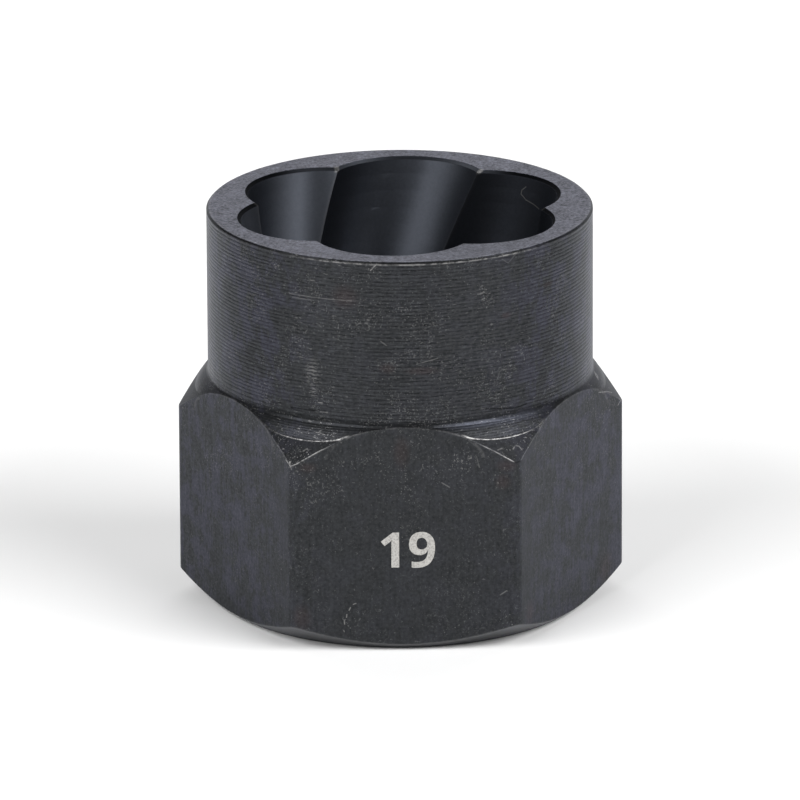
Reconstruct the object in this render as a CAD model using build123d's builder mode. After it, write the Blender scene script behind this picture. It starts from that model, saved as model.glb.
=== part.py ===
"""Spiral-flute extractor socket for rounded-off hexagon nuts and bolt heads.

One forged and turned piece. It stands on the hexagon end, which has a square
drive in its underside. The round neck carries a tapered bore with left-hand
spiral flutes, whose sharp ridges bite into the nut.

Millimetres and degrees, +Z up, origin at the centre of the base face, with a
corner of the hexagon on +X.
"""

import os
from math import cos, pi, radians, sin, tan

from build123d import *

# Outside of the piece
height = 28.0
hex_across_flats = 27.0
hex_edge_radius = 0.9
neck_step = 0.1  # from the middle of a flat in to the neck
rim_chamfer = 0.15

# Turned chamfer round the base
base_face_radius = 12.82
base_chamfer_angle = 33.5

# Forged slope on each corner of the hexagon, part of a wide cone
corner_height = 13.58
corner_slope = 51.5
corner_slope_offset = 7.1  # from the piece's axis to the cone's, away from the corner

# Turned shoulder between the corners and the neck
neck_root_height = 16.22
neck_root_radius = 0.5
shoulder_slope = 39.0
shoulder_round = 3.05
shoulder_turn = 50.0
flat_top_slope = 45.0
flat_top_drop = 0.12

# Spiral flutes
flute_count = 6
mouth_wall = 1.75  # at the deepest point of a flute
ridge_height = 1.8
ridge_taper = 8.5
mouth_bevel = 0.2
twist_per_mm = 2.4
first_ridge_angle = -5.6
flute_bands = 12  # straight from section to section, each turned about 3 degrees from the last

# Square drive and the hole between it and the flutes
drive_across_flats = 9.6
drive_corner_radius = 0.4
drive_depth = 11.0
lead_in_radius = 7.0
lead_in_depth = 2.4
web_thickness = 3.0
punch_hole_radius = 4.25
ball_groove_height = 5.2
ball_groove_width = 2.6
ball_groove_depth = 0.7

# Sides of a hexagon, and sizes that follow from those above
hex_sides = 6
corner_angle = 360 / hex_sides
hex_apothem = hex_across_flats / 2
neck_radius = hex_apothem - neck_step
corner_radius = hex_apothem / cos(pi / hex_sides) - hex_edge_radius * (1 / cos(pi / hex_sides) - 1)
flute_depth = height - drive_depth - web_thickness
flute_radius = neck_radius - mouth_wall
ridge_radius = flute_radius - ridge_height


def flute_outline(depth):
    """Draw the lobed opening at a depth below the rim, as arcs that meet on the ridges."""
    half_lobe = pi / flute_count
    scale = 1 - depth * tan(radians(ridge_taper)) / ridge_radius
    start = radians(first_ridge_angle + twist_per_mm * depth)
    for lobe in range(flute_count):
        angles = [start + (2 * lobe + step) * half_lobe for step in range(3)]
        radii = [ridge_radius * scale, flute_radius * scale, ridge_radius * scale]
        ThreePointArc(*[(radius * cos(a), radius * sin(a)) for radius, a in zip(radii, angles)])


# Hexagon with rounded edges, cut by the base chamfer, the shoulder and the corner slopes
with BuildSketch() as hexagon:
    RegularPolygon(hex_apothem, hex_sides, major_radius=False)
    fillet(hexagon.vertices(), hex_edge_radius)

with BuildPart() as hexagon_end:
    extrude(hexagon.sketch, amount=neck_root_height)
    Cone(
        base_face_radius,
        base_face_radius + height / tan(radians(base_chamfer_angle)),
        height,
        align=(Align.CENTER, Align.CENTER, Align.MIN),
        mode=Mode.INTERSECT,
    )
    flat_top = neck_root_height - flat_top_drop
    Cone(
        neck_radius + flat_top / tan(radians(flat_top_slope)),
        neck_radius - flat_top_drop / tan(radians(flat_top_slope)),
        neck_root_height,
        align=(Align.CENTER, Align.CENTER, Align.MIN),
        mode=Mode.INTERSECT,
    )
    slope_radius = corner_slope_offset + corner_radius
    slope_run = 1 / tan(radians(corner_slope))
    for corner in range(hex_sides):
        with PolarLocations(corner_slope_offset, 1, start_angle=180 + corner * corner_angle):
            Cone(
                slope_radius + corner_height * slope_run,
                slope_radius - (neck_root_height - corner_height) * slope_run,
                neck_root_height,
                align=(Align.CENTER, Align.CENTER, Align.MIN),
                mode=Mode.INTERSECT,
            )

# Neck and rounded shoulder, turned in one profile and cut off at the flats
with BuildPart() as turned_neck:
    neck_root = (neck_radius, neck_root_height)
    with BuildSketch(Plane.XZ) as neck_profile:
        with BuildLine():
            shoulder = JernArc(
                start=neck_root,
                tangent=(cos(radians(shoulder_slope)), -sin(radians(shoulder_slope))),
                radius=shoulder_round,
                arc_size=-shoulder_turn,
            )
            shoulder_end = shoulder @ 1
            Polyline(
                shoulder_end,
                (shoulder_end.X, drive_depth),
                (0, drive_depth),
                (0, height),
                (neck_radius, height),
                neck_root,
            )
        make_face()
        fillet(neck_profile.vertices().sort_by_distance(neck_root)[0], neck_root_radius)
        chamfer(neck_profile.vertices().sort_by_distance((neck_radius, height))[0], rim_chamfer)
    revolve(axis=Axis.Z)
    extrude(hexagon.sketch, amount=height, mode=Mode.INTERSECT)

with BuildPart() as extractor_body:
    add(hexagon_end.part)
    add(turned_neck.part)

    # Tapered spiral flutes, lofted from clear of the rim through sections that turn as they go down
    band_height = flute_depth / flute_bands
    for section in range(-1, flute_bands + 1):
        with BuildSketch(Plane.XY.offset(height - section * band_height)):
            with BuildLine():
                flute_outline(section * band_height)
            make_face()
    loft(ruled=True, mode=Mode.SUBTRACT)

    # Bevel round the mouth
    rim = extractor_body.faces().sort_by(Axis.Z)[-1]
    chamfer(rim.inner_wires()[0].edges(), mouth_bevel)

    # Square drive with its lead-in, open through to the flutes
    with BuildSketch():
        RectangleRounded(drive_across_flats, drive_across_flats, drive_corner_radius)
    extrude(amount=drive_depth, mode=Mode.SUBTRACT)
    with BuildSketch():
        Circle(punch_hole_radius)
    extrude(amount=height - flute_depth, mode=Mode.SUBTRACT)
    Cone(
        lead_in_radius,
        lead_in_radius - lead_in_depth,
        lead_in_depth,
        align=(Align.CENTER, Align.CENTER, Align.MIN),
        mode=Mode.SUBTRACT,
    )

    # Turned groove that cuts into the middle of each of the drive's walls, for the ball of a ratchet
    with Locations((0, 0, ball_groove_height)):
        Cylinder(drive_across_flats / 2 + ball_groove_depth, ball_groove_width, mode=Mode.SUBTRACT)

extractor_body.part.label = "extractor_body"

os.makedirs("parts", exist_ok=True)
export_step(extractor_body.part, "parts/extractor_body.step")
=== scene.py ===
"""Blackens, wears and marks a spiral-flute extractor socket, and stands it on a pale floor.

The socket's own form comes from the frame. Its finish is one material, which
finds each surface and edge of the socket by its place: its height, how far it
is from the axis, and its angle from a hexagon corner, in millimetres.
"""

from math import cos, pi, radians, sin, tan

import bpy
from mathutils import Matrix, Vector


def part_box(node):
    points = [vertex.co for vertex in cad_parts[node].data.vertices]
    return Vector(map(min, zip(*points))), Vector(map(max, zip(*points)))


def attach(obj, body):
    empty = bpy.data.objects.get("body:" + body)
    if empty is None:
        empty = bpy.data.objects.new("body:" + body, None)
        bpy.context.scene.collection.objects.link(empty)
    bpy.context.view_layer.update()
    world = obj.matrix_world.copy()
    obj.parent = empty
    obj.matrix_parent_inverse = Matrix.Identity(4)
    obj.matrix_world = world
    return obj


bl_info = {
    "name": "Extractor Socket Finish",
    "version": (1, 0, 0),
    "blender": (4, 5, 0),
    "location": "3D View > Sidebar > Extractor",
    "description": "Blackens and wears an extractor socket, etches its size and builds its studio",
    "category": "Material",
}

MM = 0.001
BODY = "extractor_body"
SLOT = "blackened_steel"

# The built-in font's plain 1 is a bare bar, so the mark uses its bold sans digits, which start here
FIRST_BOLD_DIGIT = 0x1D7EC

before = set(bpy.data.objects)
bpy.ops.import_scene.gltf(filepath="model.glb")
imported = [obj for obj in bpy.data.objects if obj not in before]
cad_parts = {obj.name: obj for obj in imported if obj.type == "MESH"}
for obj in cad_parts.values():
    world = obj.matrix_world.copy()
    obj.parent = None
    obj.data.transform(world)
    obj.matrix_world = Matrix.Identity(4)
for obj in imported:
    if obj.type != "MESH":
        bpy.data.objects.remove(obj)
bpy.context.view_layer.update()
body_lo, body_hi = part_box(BODY)

# Sizes read off the frame, in millimetres
HEIGHT = body_hi.z / MM
APOTHEM = body_hi.y / MM
CORNER_RADIUS = body_hi.x / MM

# Scratches that show bare steel: how bare, then angle round the socket in degrees and height,
# from point to point
LIGHT_SCRATCHES = (
    (0.22, (-125.5, 25.1), (-116.0, 25.12), (-105.5, 25.15)),
    (0.2, (-124.5, 24.88), (-117.5, 24.9)),
    (0.12, (-59.8, 27.61), (-57.7, 27.24), (-54.8, 27.76)),
    (0.7, (-99.8, 27.39), (-98.0, 27.86)),
    (0.5, (-99.4, 27.45), (-98.6, 27.82)),
    (0.22, (-96.9, 22.35), (-95.2, 22.05)),
    (0.25, (-86.4, 20.7), (-83.0, 20.9), (-80.2, 21.05)),
    (0.15, (-62.6, 18.6), (-61.2, 19.19), (-60.7, 19.55), (-58.6, 19.85)),
    (0.45, (-116.0, 17.6), (-114.8, 17.6)),
    (0.4, (-115.4, 16.95), (-114.4, 16.95)),
    (1.0, (-5.2, 16.1), (-7.4, 15.98), (-8.2, 15.76)),
    (1.0, (-5.4, 15.98), (-7.6, 15.86)),
    (1.0, (-5.8, 15.88), (-7.2, 15.78)),
    (0.7, (-13.5, 15.25), (-8.0, 14.9), (-4.0, 14.5)),
    (0.8, (-1.2, 13.8), (-3.0, 13.5)),
    (0.3, (-79.4, 12.18), (-77.2, 11.84)),
    (0.2, (-70.0, 14.03), (-69.3, 13.27)),
    (0.6, (-104.2, 3.5), (-104.9, 3.43)),
    (0.45, (-105.7, 3.2), (-106.1, 3.0)),
    (0.6, (-106.7, 2.7), (-106.8, 2.5)),
    (0.5, (-107.4, 2.25), (-107.3, 2.0)),
    (0.45, (-107.6, 1.55), (-107.4, 1.45)),
    (0.3, (-64.2, 4.0), (-62.7, 4.3)),
    (0.12, (-64.4, 14.44), (-63.0, 14.5)),
    (0.15, (-59.9, 14.34), (-58.9, 14.5), (-57.9, 14.44), (-57.4, 14.2)),
    (0.15, (-118.2, 14.42), (-117.2, 14.6), (-116.6, 14.5)),
    (0.8, (-122.4, 13.75), (-121.4, 13.62), (-120.6, 13.42), (-119.2, 13.6)),
    (0.6, (-120.9, 13.7), (-120.2, 13.2)),
)
DARK_SCRATCHES = (
    ((-125.3, 16.93), (-117.2, 16.95)),
    ((-132.6, 16.98), (-130.4, 16.95)),
    ((-65.3, 17.04), (-55.0, 16.7), (-51.0, 16.8)),
    ((-165.5, 27.62), (-160.5, 27.55), (-155.0, 27.5)),
)
# A pale fibre that lies in one flute
FIBRE = ((37.1, 27.13), (38.8, 26.85), (39.1, 26.55), (36.7, 26.21), (33.0, 26.08), (29.1, 25.91))

# Patches with more specks than elsewhere: angle, height, half width and half height
SPECKLED_PATCHES = (
    (-91.1, 15.2, 0.65, 1.3),
    (-90.6, 12.6, 0.5, 2.6),
    (-75.0, 13.8, 2.6, 1.4),
    (-101.0, 13.6, 3.0, 1.3),
    (-64.5, 12.4, 1.2, 1.6),
    (-118.4, 19.6, 0.9, 1.6),
    (-65.8, 25.2, 0.9, 1.7),
    (-160.0, 27.5, 2.0, 0.35),
    (-62.5, 2.3, 0.9, 0.9),
    (-106.6, 2.1, 0.5, 0.9),
    (-121.2, 13.5, 0.6, 0.45),
    (-61.5, 14.2, 0.9, 0.6),
    (-117.5, 14.4, 0.9, 0.5),
    (-176.0, 15.2, 1.0, 0.9),
    (-166.0, 16.3, 1.6, 0.5),
    (1.5, 14.6, 0.8, 0.8),
    (-11.0, 15.4, 0.6, 0.9),
)
# Where the crests of the turned lines are worn bright, the last a painted highlight low on the neck
RUBBED_AND_HIGHLIGHT_PATCHES = (
    (-118.0, 19.7, 0.8, 1.5),
    (-117.4, 18.4, 0.4, 0.8),
    (-168.0, 16.9, 0.8, 0.8),
)
# Patches with a brown tint
BROWN_PATCHES = (
    (-116.2, 13.36, 0.7, 0.5),
    (-62.6, 13.34, 0.8, 0.6),
    (-63.5, 12.2, 0.6, 0.8),
    (-117.9, 2.5, 0.7, 1.3),
    (-54.5, 2.2, 0.7, 1.2),
    (-9.8, 2.1, 1.2, 1.6),
    (-41.9, 24.95, 0.7, 0.25),
    (-58.4, 23.5, 0.6, 0.35),
    (-107.6, 25.4, 1.3, 1.2),
    (-85.0, 20.2, 1.6, 0.4),
    (-95.0, 20.4, 0.8, 0.5),
    (-91.0, 14.4, 0.8, 1.6),
)

# Softboxes: azimuth from the camera, height above the horizon, width and height as seen from the
# socket, all in degrees, and how strongly each lights a surface that faces it
SOFTBOXES = {
    "left_front": (-50, 38, 45, 25, 2.79),
    "left_low": (-42, 12, 20, 20, 0.12),
    "left_low_side": (-75, 8, 45, 20, 0.05),
    "right_front": (60, 38, 45, 25, 3.4),
    "right_low": (33, 12, 20, 20, 0.08),
    "left_side": (-100, 50, 40, 40, 0.09),
    "back_low": (170, 15, 90, 20, 0.68),
    "back_high": (180, 50, 70, 35, 1.31),
    "front_low": (0, 10, 30, 20, 0.1),
}
# Width in pixels of the picture that the focal length is given for
IMAGE_WIDTH = 800


def length_property(name, description, default):
    """A length that the sidebar shows in the scene's units."""
    return bpy.props.FloatProperty(
        name=name, description=description, default=default * MM, unit="LENGTH"
    )


def angle_property(name, description, default):
    """An angle that the sidebar shows in degrees."""
    return bpy.props.FloatProperty(
        name=name, description=description, default=radians(default), subtype="ANGLE"
    )


def share_property(name, description, default):
    """A share from 0 to 1."""
    return bpy.props.FloatProperty(
        name=name, description=description, default=default, min=0, max=1, subtype="FACTOR"
    )


def colour_property(name, description, default):
    """A colour that the sidebar shows as a swatch."""
    return bpy.props.FloatVectorProperty(
        name=name, description=description, default=default, size=3, min=0, max=1, subtype="COLOR"
    )


class SocketForm(bpy.types.PropertyGroup):
    """Where the socket's surfaces lie."""

    neck_step: length_property("Neck step", "From the middle of a flat in to the neck", 0.1)
    rim_chamfer: length_property("Rim chamfer", "Chamfer round the rim", 0.15)
    neck_root: length_property("Neck root", "Height at which the neck meets the shoulder", 16.22)
    shoulder_round: length_property("Shoulder round", "Radius of the rounded shoulder", 3.05)
    shoulder_slope: angle_property("Shoulder slope", "Slope of the shoulder at the neck", 39.0)
    corner_height: length_property("Corner height", "Height of the hexagon's corners", 13.58)
    corner_slope: angle_property("Corner slope", "Slope cut on each corner", 51.5)
    corner_offset: length_property("Corner offset", "From the socket's axis to that of a corner's cone", 7.1)
    base_radius: length_property("Base radius", "Radius of the face it stands on", 12.82)
    base_slope: angle_property("Base slope", "Slope of the chamfer round the base", 33.5)
    bore_floor: length_property("Bore floor", "Height of the floor of the flutes", 14.0)
    twist: angle_property("Twist", "Turn of the flutes in a millimetre", 2.4)
    first_ridge: angle_property("First ridge", "Angle of the first ridge at the mouth", -5.6)
    feed: length_property("Feed", "Distance between the turned lines", 0.265)


class SocketFinish(bpy.types.PropertyGroup):
    """Colours and sizes of the black finish and its wear."""

    black: colour_property("Black", "The black oxide", (0.041, 0.043, 0.046))
    # Colour of the bluish clouds, and also of a painted bluish sheen towards the sides
    violet_and_sheen: colour_property("Violet", "Bluish clouds in the oxide", (0.0455, 0.0465, 0.06))
    brown: colour_property("Brown", "Brown tint in small patches", (0.058, 0.046, 0.046))
    top: colour_property("Top", "Oxide on the face round the mouth", (0.118, 0.12, 0.145))
    deep: colour_property("Deep", "Oxide in the bore", (0.068, 0.074, 0.088))
    # Colour of a painted highlight in the root of the neck
    shine: colour_property("Shine", "Bluish shine in the root of the neck", (0.09, 0.096, 0.12))
    shoulder_shade: share_property("Shoulder shade", "Brightness of the shoulder beside the neck", 0.48)
    slope_shade: share_property("Slope shade", "Brightness of a corner slope beside the shoulder", 0.72)
    steel: colour_property("Steel", "Bare steel at worn edges and specks", (0.36, 0.355, 0.35))
    sheen: colour_property("Sheen", "Bluish tint of the finish seen at a low angle", (0.95, 0.965, 1.0))
    roughness: share_property("Roughness", "Roughness of the flats", 0.45)
    neck_roughness: share_property("Neck roughness", "Roughness of the turned surfaces", 0.42)
    face_roughness: share_property("Face roughness", "Roughness of the face round the mouth", 0.5)
    bore_roughness: share_property("Bore roughness", "Roughness of the flutes", 0.38)
    feed_depth: length_property("Feed depth", "Depth of the turned lines", 0.022)
    pit_depth: length_property("Pit depth", "Depth of the pits in the face round the mouth", 0.05)
    grain_depth: length_property("Grain depth", "Depth of the fine grain all over", 0.0025)
    worn_width: length_property("Worn width", "Width of the worn line on an edge", 0.12)
    scratch_width: length_property("Scratch width", "Half the width of a scratch", 0.055)


class SizeMark(bpy.types.PropertyGroup):
    """The etched size on the front flat."""

    text: bpy.props.StringProperty(name="Size", description="Size of nut in millimetres", default="19")
    height: length_property("Height", "Height of the digits", 2.6)
    centre: length_property("Centre", "Height of the middle of the digits above the base", 7.34)
    side: length_property("Side", "Sideways place of the middle of the digits", 0.18)
    depth: length_property("Depth", "How far the etched skin stands off the flat", 0.004)
    colour: colour_property("Colour", "The pale etched steel", (0.42, 0.41, 0.39))


class Studio(bpy.types.PropertyGroup):
    """The floor, the light and the camera."""

    floor_size: length_property("Floor size", "Side of the square floor", 6000.0)
    floor_colour: colour_property("Floor colour", "Pale paint of the floor", (0.86, 0.86, 0.86))
    sky: share_property("Sky", "Strength of the light from all round", 0.04)
    light_distance: length_property("Light distance", "From the socket to each softbox", 1200.0)
    distance: length_property("Camera distance", "From the camera to the socket", 800.0)
    azimuth: angle_property("Camera azimuth", "Turn of the camera round the socket", -1.2)
    elevation: angle_property("Camera elevation", "Height of the camera above the horizon", 18.02)
    roll: angle_property("Camera roll", "Roll of the camera", -0.28)
    focal_pixels: bpy.props.FloatProperty(
        name="Focal length", description="Focal length in pixels of an image 800 wide", default=11483.9
    )
    target_height: length_property("Target height", "Height of the point the camera looks at", 13.79)
    target_side: length_property("Target side", "Sideways place of that point", -0.034)


class Wire:
    """A shader socket that works in sums, so that a pattern reads as an expression."""

    def __init__(self, sketch, socket):
        self.sketch = sketch
        self.socket = socket

    def __add__(self, other):
        return self.sketch.math("ADD", self, other)

    def __sub__(self, other):
        return self.sketch.math("SUBTRACT", self, other)

    def __rsub__(self, other):
        return self.sketch.math("SUBTRACT", other, self)

    def __mul__(self, other):
        return self.sketch.math("MULTIPLY", self, other)

    def __truediv__(self, other):
        return self.sketch.math("DIVIDE", self, other)

    def __pow__(self, other):
        return self.sketch.math("POWER", self, other)

    def __abs__(self):
        return self.sketch.math("ABSOLUTE", self)

    __radd__ = __add__
    __rmul__ = __mul__


class Sketch:
    """A material's node tree, with one method that adds any node."""

    def __init__(self, name):
        self.material = bpy.data.materials.new(name)
        self.material.use_nodes = True
        self.tree = self.material.node_tree
        self.tree.nodes.clear()

    def node(self, kind, settings=None, *values, output=None, **named):
        """Add a node with its settings, feed its inputs in order or by name, and return an output."""
        node = self.tree.nodes.new(kind)
        for key, value in (settings or {}).items():
            setattr(node, key, value)
        feeds = list(zip([socket for socket in node.inputs if socket.enabled], values))
        feeds += [(node.inputs[key.replace("_", " ")], value) for key, value in named.items()]
        for socket, value in feeds:
            if isinstance(value, Wire):
                self.tree.links.new(value.socket, socket)
            elif socket.type == "RGBA":
                socket.default_value = (*value, 1.0)
            else:
                socket.default_value = value
        outputs = [socket for socket in node.outputs if socket.enabled and output in (None, socket.name)]
        return Wire(self, outputs[0]) if outputs else None

    def point(self):
        """The place on the piece, in millimetres."""
        return self.arrow("SCALE", self.node("ShaderNodeTexCoord", output="Object"), Scale=1 / MM)

    def vector(self, x, y, z=0.0):
        """A place from its three numbers."""
        return self.node("ShaderNodeCombineXYZ", None, x, y, z)

    def math(self, operation, *values):
        """A Math node."""
        return self.node("ShaderNodeMath", {"operation": operation}, *values)

    def arrow(self, operation, *values, **named):
        """A Vector Math node."""
        return self.node("ShaderNodeVectorMath", {"operation": operation}, *values, **named)

    def noise(self, place, scale, detail=2.0, roughness=0.5):
        """Cloudy noise about 0.5."""
        return self.node(
            "ShaderNodeTexNoise", None, Vector=place, Scale=scale, Detail=detail, Roughness=roughness
        )

    def ramp(self, value, low, high):
        """0 up to low, 1 from high, and a smooth step between. With low over high it falls."""
        start, end = (1.0, 0.0) if low > high else (0.0, 1.0)
        settings = {"interpolation_type": "SMOOTHSTEP", "clamp": False}
        return self.node("ShaderNodeMapRange", settings, value, min(low, high), max(low, high), start, end)

    def mix(self, amount, first, second):
        """Mix two colours."""
        return self.node("ShaderNodeMix", {"data_type": "RGBA", "clamp_factor": True}, amount, first, second)

    def most(self, values):
        """The largest of the values, taken one at a time, so that a long list stays small in Cycles."""
        values = iter(values)
        top = next(values)
        for value in values:
            top = self.math("MAXIMUM", top, value)
        return top


class SocketPlace:
    """Where a point of the surface lies on the socket, in millimetres, and which surface it belongs to."""

    def __init__(self, sketch, form):
        self.sketch = sketch
        self.neck_radius = APOTHEM - form.neck_step / MM
        self.neck_root = form.neck_root / MM
        self.corner_height = form.corner_height / MM
        self.point = sketch.point()
        self.x, self.y, self.z = [
            sketch.node("ShaderNodeSeparateXYZ", None, self.point, output=axis) for axis in "XYZ"
        ]
        self.radius = (self.x * self.x + self.y * self.y) ** 0.5
        self.angle = sketch.math("ARCTAN2", self.y, self.x)
        self.off_front = sketch.math("PINGPONG", self.angle + pi / 2, pi)
        self.unrolled = sketch.vector(self.angle * APOTHEM, self.z)
        self.measure_distances(form)
        self.tell_surfaces(form)
        self.lay_streaks(form)

    def measure_distances(self, form):
        """How far it is from the hexagon's corners and flats, the slopes and the flutes' ridges."""
        math = self.sketch.math
        from_corner = math("PINGPONG", self.angle, pi / 6)
        from_middle = pi / 6 - from_corner
        self.along_corner = self.radius * math("COSINE", from_corner)
        self.across_corner = self.radius * math("SINE", from_corner)
        self.off_flat = abs(self.radius * math("COSINE", from_middle) - APOTHEM)
        self.off_corner_slope = self.distance_to_corner_slope(form)
        self.off_shoulder = self.distance_to_shoulder(form)
        base_run = 1 / tan(form.base_slope)
        self.off_base_chamfer = abs(self.radius - form.base_radius / MM - self.z * base_run)
        ridge_turn = self.angle - (form.first_ridge + form.twist * HEIGHT) + self.z * form.twist
        self.from_ridge = math("PINGPONG", ridge_turn, pi / 6)
        # Down the neck and out along the shoulder, as the turning tool went
        self.down_profile = (self.radius - self.neck_radius) * 0.8 - self.z

    def tell_surfaces(self, form):
        """1 on each surface and 0 off it."""
        ramp, z = self.sketch.ramp, self.z
        # Halfway through the wall round the mouth
        outside = ramp(self.radius, APOTHEM - 1.2, APOTHEM - 1.0)
        self.face = ramp(z, HEIGHT - 0.03, HEIGHT - 0.01)
        floor = form.bore_floor / MM
        self.bore = (1 - outside) * (1 - self.face) * ramp(z, floor - 0.1, floor)
        self.outside = outside * (1 - self.face)

        # A corner's cone runs on through the root of the neck, so its slope counts only below that
        on_corner_slope = ramp(self.off_corner_slope, 0.02, 0.005)
        on_corner_slope = on_corner_slope * ramp(z, self.neck_root - 0.32, self.neck_root - 0.62)
        off_flats = self.outside * ramp(self.off_flat, 0.01, 0.03)
        off_flats = off_flats * ramp(z, self.corner_height - 0.13, self.corner_height + 0.02)
        self.turned = off_flats * (1 - on_corner_slope)
        self.below_neck = ramp(z, self.neck_root + 0.5, self.neck_root + 0.1)
        self.slopes = off_flats * self.below_neck
        self.corner_slopes = off_flats * on_corner_slope

        # The bevel of the mouth, with painted shade all round, and more of it and more roughness
        # at its left and right as seen from the front
        self.mouth_bevel = self.bore * ramp(z, HEIGHT - 0.25, HEIGHT - 0.18)
        self.mouth_side = ramp(abs(self.off_front - pi / 2), radians(65), radians(40))
        self.rim_foot = HEIGHT - form.rim_chamfer / MM
        self.rim = self.outside * ramp(z, self.rim_foot - 0.02, self.rim_foot + 0.02)
        off_root = abs(self.down_profile + (self.neck_root - 0.27))
        self.root = self.turned * ramp(off_root, 0.5, 0.12)

    def lay_streaks(self, form):
        """The turned lines, and streaks along them and up and down the flats."""
        x, y, z, down = self.x, self.y, self.z, self.down_profile
        self.turned_streaks = self.sketch.vector(x * 1.1, y * 1.1, down * 9)
        wander = self.sketch.noise(self.turned_streaks, 0.12, detail=1.0) * 0.8
        turn = down / (form.feed / MM) + wander
        self.crests = abs(self.sketch.math("SINE", turn * pi))
        self.turned_dashes = self.sketch.vector(x * 2.4, y * 2.4, down * 8)
        self.upright_streaks = self.sketch.vector(x * 6, y * 6, z * 0.7)

    def distance_to_corner_slope(self, form):
        """How far it is, measured level, from the cone that cuts the nearest corner."""
        run = 1 / tan(form.corner_slope)
        offset = form.corner_offset / MM
        reach = offset + CORNER_RADIUS + self.corner_height * run
        along = self.along_corner + offset
        across = self.across_corner
        return abs((along * along + across * across) ** 0.5 - reach + self.z * run)

    def distance_to_shoulder(self, form):
        """How far it is from the rounded shoulder under the neck."""
        down = pi / 2 + form.shoulder_slope
        size = form.shoulder_round / MM
        out = self.radius - (self.neck_radius + size * cos(down))
        up = self.z - (self.neck_root - size * sin(down))
        # The round ends at its middle height, so anything lower counts as far away
        return abs((out * out + up * up) ** 0.5 - size) + self.sketch.ramp(up, 0.1, 0.0)

    def edge(self, first, second, width):
        """1 on the edge where two surfaces meet, fading to 0 at a distance of width."""
        return self.sketch.ramp(self.sketch.math("MAXIMUM", first, second), width, width * 0.3)

    def scratch(self, corners, width):
        """1 along a line from point to point, each an angle in degrees and a height."""
        places = [Vector((radians(turn) * APOTHEM, height, 0)) for turn, height in corners]
        return self.sketch.most(self.stroke(start, end, width) for start, end in zip(places, places[1:]))

    def stroke(self, start, end, width):
        """1 along a straight line on the unrolled socket, fading to 0 at a distance of width."""
        arrow, math = self.sketch.arrow, self.sketch.math
        run = end - start
        from_start = arrow("SUBTRACT", self.unrolled, start)
        share = arrow("DOT_PRODUCT", from_start, run / run.length_squared)
        share = math("MINIMUM", math("MAXIMUM", share, 0.0), 1.0)
        nearest = arrow("SCALE", tuple(run), Scale=share)
        away = arrow("LENGTH", arrow("SUBTRACT", from_start, nearest))
        return self.sketch.ramp(away, width, width * 0.3)

    def patch(self, turn, height, half_width, half_height):
        """1 in the middle of an oval, fading to 0 at its edge."""
        arrow = self.sketch.arrow
        middle = (radians(turn) * APOTHEM, height, 0)
        stretch = (1 / half_width, 1 / half_height, 1)
        away = arrow("LENGTH", arrow("MULTIPLY", arrow("SUBTRACT", self.unrolled, middle), stretch))
        return self.sketch.ramp(away, 1.0, 0.2)


def worn_edges_and_painted_light(sketch, place, finish):
    """Bare steel along the edges, strongest at the front flat and the slopes beside it, with painted
    light on the base chamfer and painted glints on the ridges' tips at the back.
    """
    ramp = sketch.ramp
    width = finish.worn_width / MM
    broken = ramp(sketch.noise(place.point, 2.2, detail=4.0, roughness=0.7), 0.38, 0.62)

    # Tops of the flats: the sloping edges at the corners, and the edge under the shoulder
    front_flat = 0.2 + ramp(place.off_front, radians(31), radians(29.5)) * 0.8
    slope_edge = place.edge(place.off_flat, place.off_corner_slope, width * 0.5)
    slope_edge = slope_edge * ramp(place.z, 15.1, 14.4) * (0.08 + broken * 0.42) * front_flat
    flat_top = place.edge(place.off_flat, place.off_shoulder, width * 0.6) * broken * 0.12

    # Creases between the corner slopes and the shoulder
    front_corners = 0.22 + ramp(place.off_front, radians(37.5), radians(34.0)) * 0.78
    crease = place.edge(place.off_corner_slope, place.off_shoulder, width * 0.11)
    crease = crease * ramp(place.z, 15.7, 15.4) * (0.12 + broken * 0.6) * front_corners

    # The base chamfer's edge with the flats, worn bare, and painted light on a little of the chamfer itself
    base_edge = place.edge(place.off_flat, place.off_base_chamfer, width * 1.3) * (0.08 + broken * 0.1)
    base_chamfer_light = ramp(place.off_base_chamfer, 0.06, 0.02) * ramp(place.z, 0.05, 0.25) * place.outside * 0.2

    # Rim, most at the front, then the outer edge of the face, and painted glints on the ridges' tips at the
    # back
    rim_line = ramp(abs(place.z - (place.rim_foot - 0.03)), 0.08, 0.02) * place.outside
    rim_front = ramp(abs(place.angle + radians(85)), 0.75, 0.45)
    rim_line = rim_line * (0.12 + broken * 0.88) * (0.06 + rim_front * 0.6)
    face_edge = ramp(abs(place.radius - (place.neck_radius - 0.22)), 0.1, 0.03) * place.face * broken * 0.25
    ridge_tip_glint = ramp(place.from_ridge, 0.025, 0.01) * ramp(place.z, HEIGHT - 0.4, HEIGHT - 0.2) * 0.5
    ridge_tip_glint = ridge_tip_glint * ramp(place.radius, 10.3, 10.15)
    ridge_tip_glint = ridge_tip_glint * ramp(place.off_front, radians(105), radians(125))
    return sketch.most([slope_edge, crease, flat_top, base_edge, base_chamfer_light, rim_line, face_edge, ridge_tip_glint])


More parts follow.
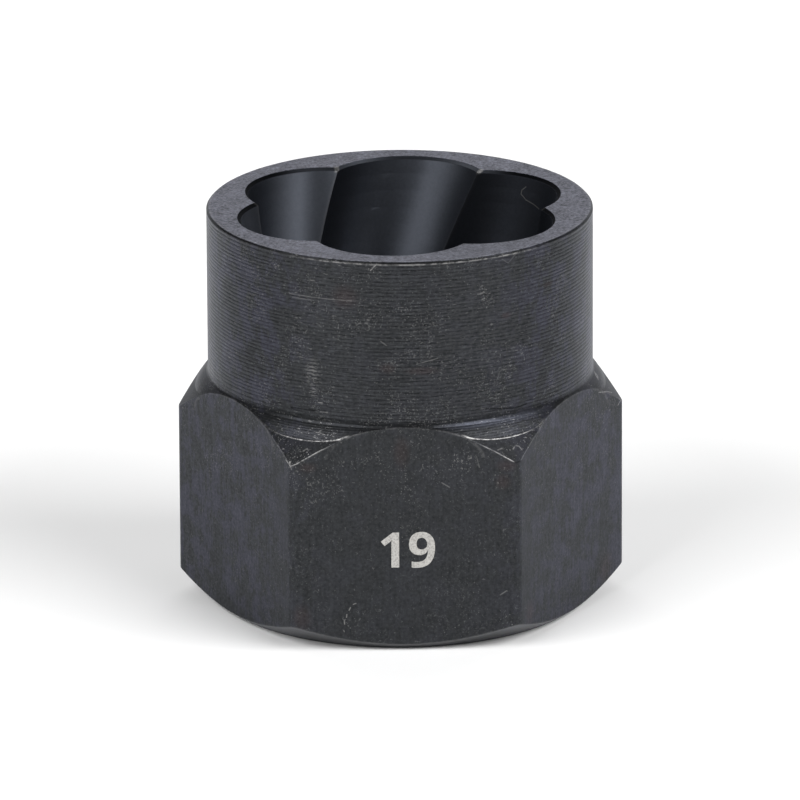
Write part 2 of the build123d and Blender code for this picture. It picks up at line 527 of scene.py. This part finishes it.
def flecks_and_highlight(sketch, place):
    """Specks, dust and curled hairs, dashes along the turned lines, crests worn bright in patches,
    and a painted highlight low on the neck.
    """
    ramp, noise, most = sketch.ramp, sketch.noise, sketch.most
    crowding = ramp(noise(place.point, 0.4, detail=2.0), 0.42, 0.66)
    patches = most(place.patch(*patch) for patch in SPECKLED_PATCHES)
    specks = noise(place.point, 7.0, detail=2.0, roughness=0.6) + crowding * 0.04 + patches * 0.07
    specks = ramp(specks, 0.70, 0.80) * 0.35
    dashes = noise(place.turned_dashes, 1.0, detail=2.0) + crowding * 0.06 + patches * 0.07
    dashes = ramp(dashes, 0.66, 0.80) * place.turned * 0.26
    dust = ramp(noise(place.point, 9.0, detail=1.0) + crowding * 0.09, 0.70, 0.78)
    dust = dust * (0.06 + ramp(place.z, 8.0, 12.0) * 0.14)
    hairs = ramp(abs(noise(place.point, 1.3, detail=1.0) - 0.5), 0.008, 0.003)
    hairs = hairs * ramp(noise(place.point, 2.6, detail=1.0), 0.58, 0.64) * (1 - place.turned) * 0.16
    # Crests worn bright in patches, the last one a painted highlight low on the left of the neck
    rubbed_and_highlight = most(place.patch(*patch) for patch in RUBBED_AND_HIGHLIGHT_PATCHES)
    rubbed_and_highlight = rubbed_and_highlight * ramp(place.crests, 0.3, 0.8) * place.turned
    rubbed_and_highlight = rubbed_and_highlight * ramp(noise(place.turned_dashes, 1.6, detail=1.0), 0.42, 0.58) * 0.3
    return most([most([specks, dust, hairs]) * (1 - place.bore), dashes, rubbed_and_highlight])


def bare_steel_and_painted_light(sketch, place, finish):
    """Where the oxide is worn off: edges, specks and scratches, with the pale fibre in the bore,
    and painted glints, a painted highlight and painted light on the base chamfer.
    """
    ramp, most = sketch.ramp, sketch.most
    # Specks and other flecks, with a painted highlight low on the neck
    specks = flecks_and_highlight(sketch, place)
    width = finish.scratch_width / MM
    scratches = most(place.scratch(line, width) * bareness for bareness, *line in LIGHT_SCRATCHES)
    scratches = scratches * place.outside * (0.4 + ramp(sketch.noise(place.point, 4.0), 0.35, 0.6) * 0.6)
    fibre = place.scratch(FIBRE, 0.06) * place.bore * 0.9
    flute_ridges = ramp(place.from_ridge, 0.02, 0.006) * place.bore * 0.07
    return most([worn_edges_and_painted_light(sketch, place, finish), specks, scratches, fibre, flute_ridges])


def oxide(sketch, place, finish):
    """Colour of the black oxide, with its clouds, streaks and tints, and painted light and shade."""
    ramp, noise = sketch.ramp, sketch.noise
    cloud = noise(place.point, 0.55, detail=5.0, roughness=0.65)
    brushed = noise(place.upright_streaks, 0.8, detail=3.0, roughness=0.6)
    sides = ramp(place.off_front, radians(20), radians(50))
    # Bluish clouds in the oxide, with a painted bluish sheen: few at the front, most towards the sides
    violet_and_sheen = ramp(cloud * 0.75 + brushed * 0.25, 0.46, 0.55) * (0.15 + sides * 0.85)
    colour = sketch.mix(violet_and_sheen, finish.black, finish.violet_and_sheen)
    # Painted light and shade: the flutes are a little duller at the left and paler at the right
    bore_painted_light = 1.04 - ramp(place.x, -4.0, -6.5) * 0.16 + ramp(place.x, 5.0, 7.5) * 0.2
    colour = sketch.mix(place.bore, colour, sketch.arrow("SCALE", finish.deep, Scale=bore_painted_light))
    # Painted light and shade: the face round the mouth is brightest at the front left and dullest at the
    # front right
    face_painted_light = 1 + ramp(abs(place.angle + radians(105)), radians(35), radians(15)) * 0.12
    face_painted_light = face_painted_light - ramp(abs(place.angle + radians(50)), radians(30), radians(12)) * 0.1
    colour = sketch.mix(place.face, colour, sketch.arrow("SCALE", finish.top, Scale=face_painted_light))
    brown = sketch.most(place.patch(*patch) for patch in BROWN_PATCHES)
    colour = sketch.mix(brown * place.outside * 0.45, colour, finish.brown)
    # Painted highlight: a bluish shine at the front right of the neck's root
    root_highlight = place.root * ramp(abs(place.angle + radians(62)), radians(22), radians(8))
    colour = sketch.mix(root_highlight * 0.75, colour, finish.shine)

    # Lighter and darker: clouds and fine mottling, strongest on the face round the mouth and weak
    # in the bore, painted shade on the front, turned lines, dark scratches, a painted dark
    # reflection on the rim chamfer and painted shade on the bevel of the mouth
    grain = noise(place.point, 4.5, detail=4.0, roughness=0.7) - 0.5
    turning = noise(place.turned_streaks, 1.4, detail=3.0, roughness=0.6) - 0.5
    flat = (1 - place.turned) * (1 - place.bore)
    patchy = noise(place.point, 1.6, detail=3.0, roughness=0.6) - 0.5
    # Painted shade: the front is a little darker than the sides
    mottle_and_front_shade = 0.93 + sides * 0.07 + grain * (1.3 + place.face * 1.8 + sides * flat) * (1 - place.bore * 0.7)
    mottle_and_front_shade = mottle_and_front_shade + (cloud - 0.5) * (0.3 + sides * 0.8) * (1 - place.bore) + patchy * place.face * 1.6
    mottle_and_front_shade = mottle_and_front_shade + (brushed - 0.5) * flat * (0.5 + sides * 0.5)
    broken = ramp(noise(place.turned_dashes, 0.9, detail=2.0), 0.36, 0.62)
    lines = turning * 1.4 + (place.crests - 0.64) * broken * 0.6
    mottle_and_front_shade = mottle_and_front_shade + place.turned * lines * (1 - place.root * 0.8)
    mottle_and_front_shade = sketch.math("MAXIMUM", mottle_and_front_shade, 0.2)
    width = finish.scratch_width * 1.4 / MM
    dark_lines = sketch.most(place.scratch(line, width) for line in DARK_SCRATCHES)
    # Painted shade on the bevel of the mouth, most at its left and right
    lip_painted_shade = place.mouth_bevel * (0.3 + place.mouth_side * 0.65)
    # Darkened by the dark scratches, by a painted dark reflection on the rim chamfer, and by the painted
    # shade on the mouth's bevel
    shade = mottle_and_front_shade * (1 - sketch.most([dark_lines * place.outside * 0.6, place.rim * 0.6, lip_painted_shade]))
    shade = shade * (1 - place.slopes * (1 - finish.shoulder_shade))
    shade = shade * (1 - place.corner_slopes * (1 - finish.slope_shade))
    return sketch.arrow("SCALE", colour, Scale=shade)


def relief(sketch, place, finish):
    """Height of the turned lines, the face's pits, the brushing and the grain, in millimetres."""
    depth = 0.1 + sketch.noise(place.turned_dashes, 0.9, detail=3.0) * 1.8
    turned = place.crests * depth * (finish.feed_depth / MM) * place.turned * (1 - place.below_neck * 0.8)
    brushed = sketch.noise(place.upright_streaks, 1.0, detail=2.0) * (1 - place.turned) * 0.6
    grain = sketch.noise(place.point, 7.0, detail=3.0, roughness=0.6) + brushed
    pits = sketch.noise(place.point, 3.0, detail=4.0, roughness=0.7) * place.face * (finish.pit_depth / MM)
    return turned + pits + grain * (finish.grain_depth / MM)


def blackened_steel(form, finish):
    """The socket's material."""
    sketch = Sketch(SLOT)
    place = SocketPlace(sketch, form)
    # Bare steel, with painted glints, a painted highlight and painted light, over the oxide
    bare_and_painted_light = bare_steel_and_painted_light(sketch, place, finish)
    colour = sketch.mix(bare_and_painted_light, oxide(sketch, place, finish), finish.steel)
    roughness = (
        finish.roughness
        + place.turned * (finish.neck_roughness - finish.roughness)
        + place.face * (finish.face_roughness - finish.roughness)
        + place.bore * (finish.bore_roughness - finish.roughness)
        + place.mouth_bevel * place.mouth_side * 0.5
    )
    height = relief(sketch, place, finish)
    bump = sketch.node("ShaderNodeBump", None, Strength=1.0, Distance=MM, Height=height)
    surface = sketch.node(
        "ShaderNodeBsdfPrincipled",
        None,
        Base_Color=colour,
        Metallic=1.0,
        Roughness=roughness,
        Specular_Tint=tuple(finish.sheen),
        Normal=bump,
    )
    sketch.node("ShaderNodeOutputMaterial", None, surface)
    return sketch.material


def etched_steel(mark):
    """Pale, matt steel where the size is etched."""
    sketch = Sketch("etched_steel")
    fleck = sketch.noise(sketch.point(), 9.0, detail=3.0, roughness=0.7)
    dark = tuple(0.6 * value for value in mark.colour)
    colour = sketch.mix(sketch.ramp(fleck, 0.35, 0.6), dark, mark.colour)
    surface = sketch.node("ShaderNodeBsdfPrincipled", None, Base_Color=colour, Roughness=0.65)
    sketch.node("ShaderNodeOutputMaterial", None, surface)
    return sketch.material


def floor_paint(studio):
    """Plain matt paint."""
    sketch = Sketch("floor_paint")
    colour = tuple(studio.floor_colour)
    surface = sketch.node("ShaderNodeBsdfPrincipled", None, Base_Color=colour, Roughness=0.9)
    sketch.node("ShaderNodeOutputMaterial", None, surface)
    return sketch.material


class DressBody(bpy.types.Operator):
    """Give the socket its black, turned and worn finish"""

    bl_idname = "extractor.dress_body"
    bl_label = "Blacken Socket"

    def execute(self, context):
        material = blackened_steel(context.scene.socket_form, context.scene.socket_finish)
        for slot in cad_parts[BODY].material_slots:
            slot.material = material
        return {"FINISHED"}


class EtchSize(bpy.types.Operator):
    """Etch the plain size on the front flat"""

    bl_idname = "extractor.etch_size"
    bl_label = "Etch Size"

    def execute(self, context):
        mark = context.scene.size_mark
        bpy.ops.object.select_all(action="DESELECT")
        bpy.ops.object.text_add(location=(0, 0, 0))
        digits = context.object
        digits.name = "etched_size"
        digits.data.body = "".join(chr(FIRST_BOLD_DIGIT + int(digit)) for digit in mark.text)
        # Any depth does, as the digits are then scaled down to a thin skin
        digits.data.extrude = 0.5
        digits.data.resolution_u = 6
        bpy.ops.object.convert(target="MESH")
        digits = context.object
        corners = [vertex.co for vertex in digits.data.vertices]
        low = Vector([min(corner[axis] for corner in corners) for axis in range(3)])
        high = Vector([max(corner[axis] for corner in corners) for axis in range(3)])
        size = mark.height / (high.y - low.y)
        skin = 2 * mark.depth / (high.z - low.z)
        front = Vector((mark.side, body_lo.y, mark.centre))
        digits.data.transform(
            Matrix.Translation(front)
            @ Matrix.Rotation(pi / 2, 4, "X")
            @ Matrix.Diagonal((size, size, skin, 1))
            @ Matrix.Translation(-(low + high) / 2)
        )
        digits.data.materials.append(etched_steel(mark))
        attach(digits, "root")
        return {"FINISHED"}


class BuildStudio(bpy.types.Operator):
    """Lay the pale floor, light the socket softly and set the camera"""

    bl_idname = "extractor.build_studio"
    bl_label = "Build Studio"

    def execute(self, context):
        studio = context.scene.studio
        bpy.ops.object.select_all(action="DESELECT")
        bpy.ops.mesh.primitive_plane_add(size=studio.floor_size, location=(0, 0, 0))
        floor = context.object
        floor.name = "floor"
        floor.data.materials.append(floor_paint(studio))
        self.light_sky(context.scene, studio)
        self.hang_softboxes(context.scene, studio)
        self.place_camera(context.scene, studio)
        context.scene.view_settings.view_transform = "Standard"
        return {"FINISHED"}

    def light_sky(self, scene, studio):
        """Faint light from all round."""
        world = bpy.data.worlds.new("studio_sky")
        world.use_nodes = True
        sky = world.node_tree.nodes["Background"]
        sky.inputs["Color"].default_value = (1, 1, 1, 1)
        sky.inputs["Strength"].default_value = studio.sky
        scene.world = world

    def hang_softboxes(self, scene, studio):
        """Area lights round the socket, all facing it from the same distance."""
        reach = studio.light_distance
        for name, (azimuth, elevation, width, height, strength) in SOFTBOXES.items():
            turn, rise = radians(azimuth) + studio.azimuth, radians(elevation)
            outward = Vector((sin(turn) * cos(rise), -cos(turn) * cos(rise), sin(rise)))
            data = bpy.data.lights.new(name, "AREA")
            data.shape = "RECTANGLE"
            data.size = 2 * reach * tan(radians(width) / 2)
            data.size_y = 2 * reach * tan(radians(height) / 2)
            data.energy = strength * pi * reach**2
            softbox = bpy.data.objects.new(name, data)
            scene.collection.objects.link(softbox)
            facing = outward.to_track_quat("Z", "Y").to_matrix().to_4x4()
            softbox.matrix_world = Matrix.Translation(outward * reach) @ facing

    def place_camera(self, scene, studio):
        """A camera that sees the socket as the photograph does."""
        turn, rise = studio.azimuth, studio.elevation
        target = Matrix.Rotation(turn, 3, "Z") @ Vector((studio.target_side, 0, studio.target_height))
        back = Vector((sin(turn) * cos(rise), -cos(turn) * cos(rise), sin(rise)))
        data = bpy.data.cameras.new("camera")
        data.sensor_width = 36.0
        data.lens = studio.focal_pixels / IMAGE_WIDTH * data.sensor_width
        data.clip_start = 0.01
        data.clip_end = 100.0
        camera = bpy.data.objects.new("camera", data)
        scene.collection.objects.link(camera)
        facing = (-back).to_track_quat("-Z", "Y").to_matrix() @ Matrix.Rotation(studio.roll, 3, "Z")
        camera.matrix_world = Matrix.Translation(target + back * studio.distance) @ facing.to_4x4()
        scene.camera = camera


class SocketPanel(bpy.types.Panel):
    """Lists the steps that finish the socket"""

    bl_idname = "VIEW3D_PT_extractor"
    bl_label = "Extractor Socket"
    bl_space_type = "VIEW_3D"
    bl_region_type = "UI"
    bl_category = "Extractor"

    def draw(self, context):
        for step in STEPS:
            self.layout.operator(step.bl_idname)


STEPS = (DressBody, EtchSize, BuildStudio)
GROUPS = {
    "socket_form": SocketForm,
    "socket_finish": SocketFinish,
    "size_mark": SizeMark,
    "studio": Studio,
}


def register():
    for name, group in GROUPS.items():
        bpy.utils.register_class(group)
        setattr(bpy.types.Scene, name, bpy.props.PointerProperty(type=group))
    for step in (*STEPS, SocketPanel):
        bpy.utils.register_class(step)


def unregister():
    for step in (SocketPanel, *reversed(STEPS)):
        bpy.utils.unregister_class(step)
    for name, group in GROUPS.items():
        delattr(bpy.types.Scene, name)
        bpy.utils.unregister_class(group)


def main():
    register()
    bpy.ops.extractor.dress_body()
    bpy.ops.extractor.etch_size()
    bpy.ops.extractor.build_studio()


if __name__ == "__main__":
    main()
